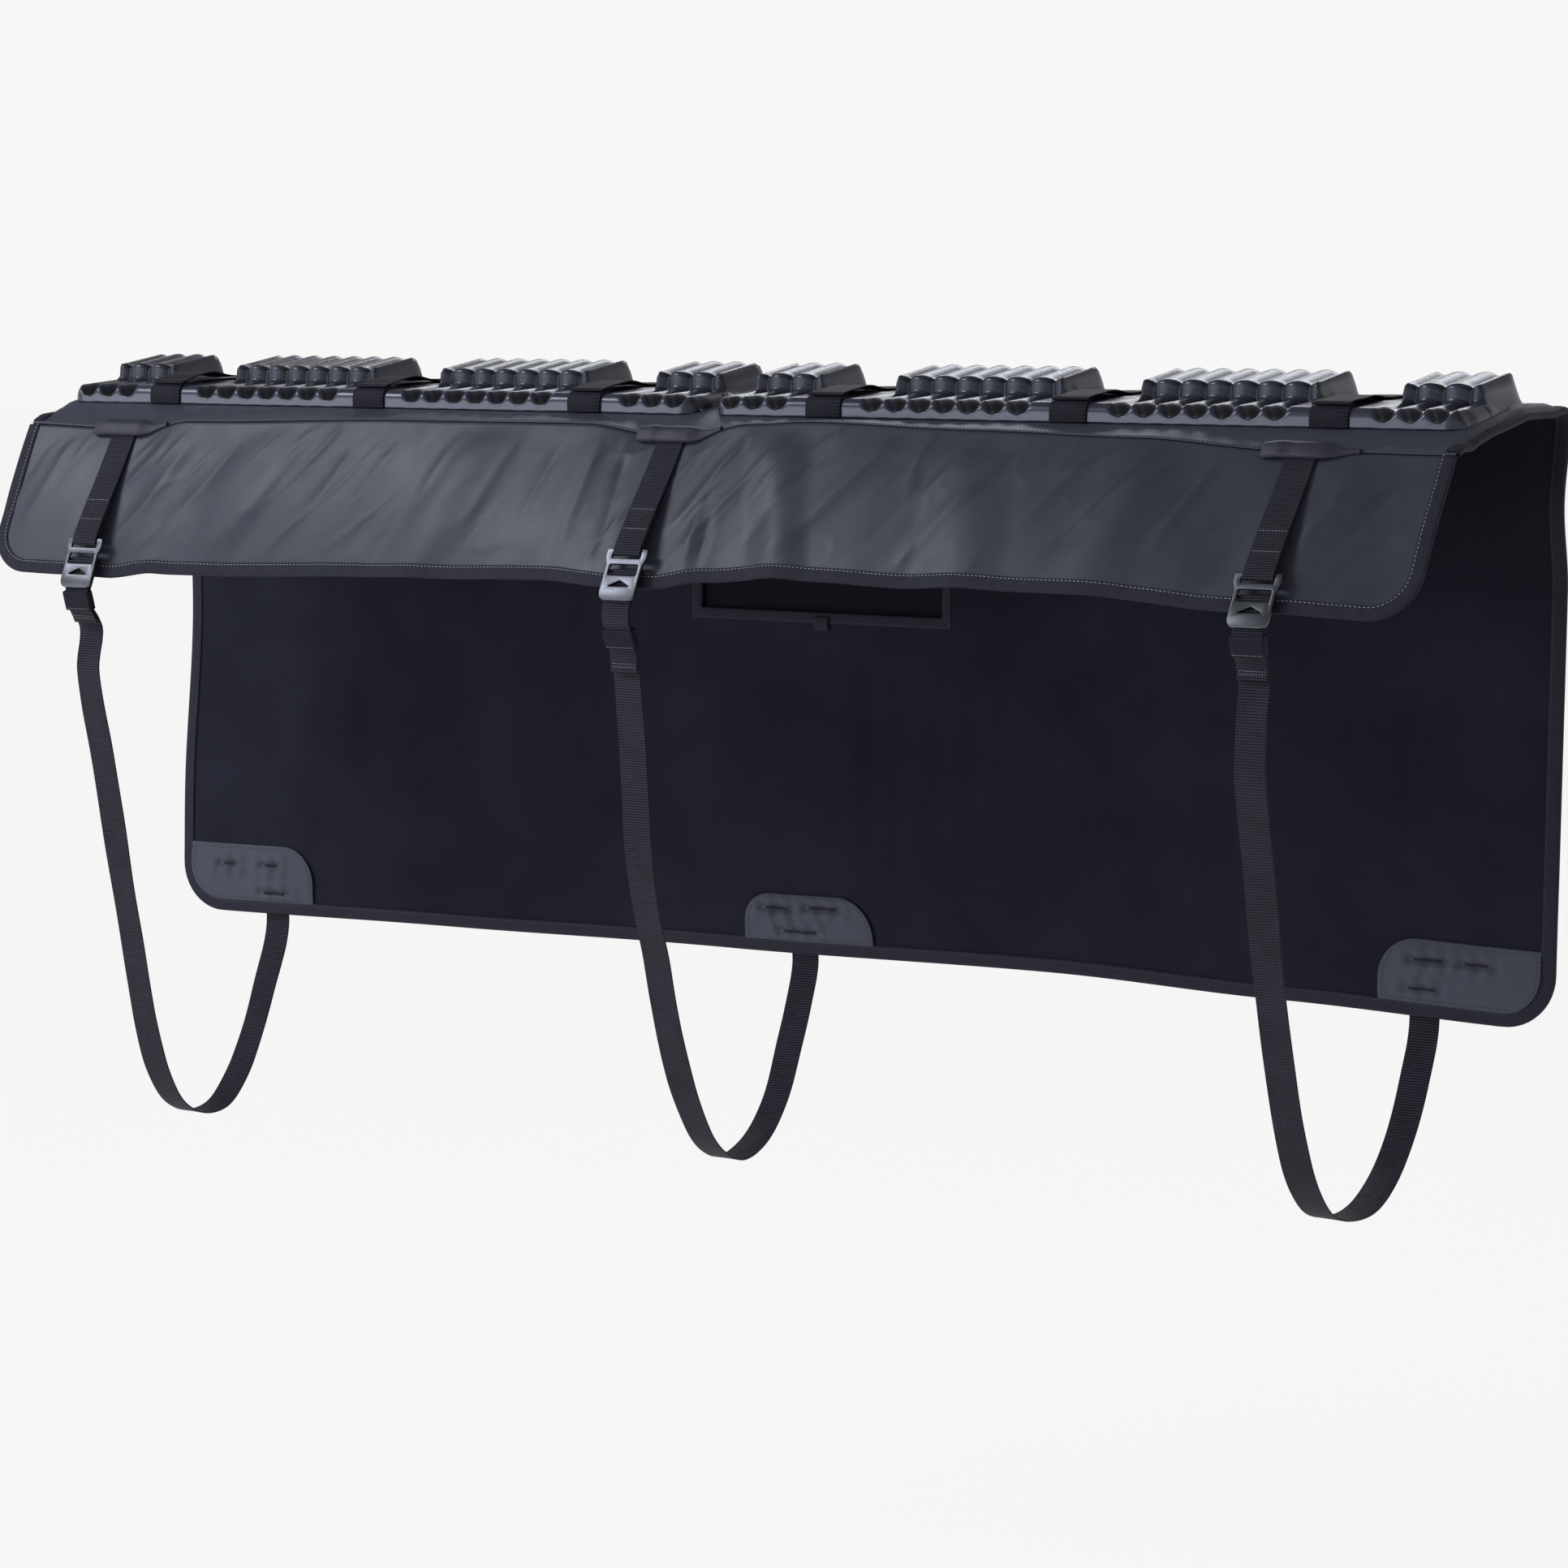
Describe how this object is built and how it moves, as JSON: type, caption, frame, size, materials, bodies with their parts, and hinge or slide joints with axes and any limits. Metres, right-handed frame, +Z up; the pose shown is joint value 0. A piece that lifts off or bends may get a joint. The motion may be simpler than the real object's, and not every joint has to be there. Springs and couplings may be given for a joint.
{
  "type": "tailgate pad",
  "caption": "Tailgate pad for carrying bicycles: coated cloth cover that drapes over a pickup tailgate, ribbed foam pads with channels and frame straps, buckled straps that pass underneath.",
  "frame": {"origin": "under the lining, in the middle of the flat that rests on the tailgate's top edge", "axes": "+X along the tailgate, +Y from the load bed to the outside of the truck, +Z up"},
  "size_m": [1.6122, 0.3813, 0.8064],
  "materials": {
    "coated_tarp": "semi-gloss coated cloth",
    "fleece_lining": "matt fleece",
    "binding_tape": "woven tape",
    "foam_skin": "moulded foam under a shiny woven skin",
    "webbing": "ribbed webbing",
    "loop_band": "hook-and-loop band",
    "satin_metal": "satin"
  },
  "bodies": {
    "root": {"cover_sheet": "coated_tarp", "lining": "fleece_lining", "front_flap": "coated_tarp", "cover_binding": "binding_tape", "flap_binding": "binding_tape", "foam_pad_left": "foam_skin", "foam_pad_right": "foam_skin", "bike_strap_1": "loop_band", "strap_anchor_1": "webbing", "bike_strap_2": "loop_band", "strap_anchor_2": "webbing", "bike_strap_3": "loop_band", "strap_anchor_3": "webbing", "bike_strap_4": "loop_band", "strap_anchor_4": "webbing", "bike_strap_5": "loop_band", "strap_anchor_5": "webbing", "bike_strap_6": "loop_band", "strap_anchor_6": "webbing", "flap_strap_1": "webbing", "strap_tab_1": "coated_tarp", "buckle_1": "satin_metal", "under_strap_1": "webbing", "strap_keeper_1": "loop_band", "flap_strap_2": "webbing", "strap_tab_2": "coated_tarp", "buckle_2": "satin_metal", "under_strap_2": "webbing", "strap_keeper_2": "loop_band", "flap_strap_3": "webbing", "strap_tab_3": "coated_tarp", "buckle_3": "satin_metal", "under_strap_3": "webbing", "strap_keeper_3": "loop_band", "patch_left": "coated_tarp", "patch_middle": "coated_tarp", "patch_right": "coated_tarp", "window_binding": "binding_tape", "window_flap": "coated_tarp"}
  },
  "joints": []
}
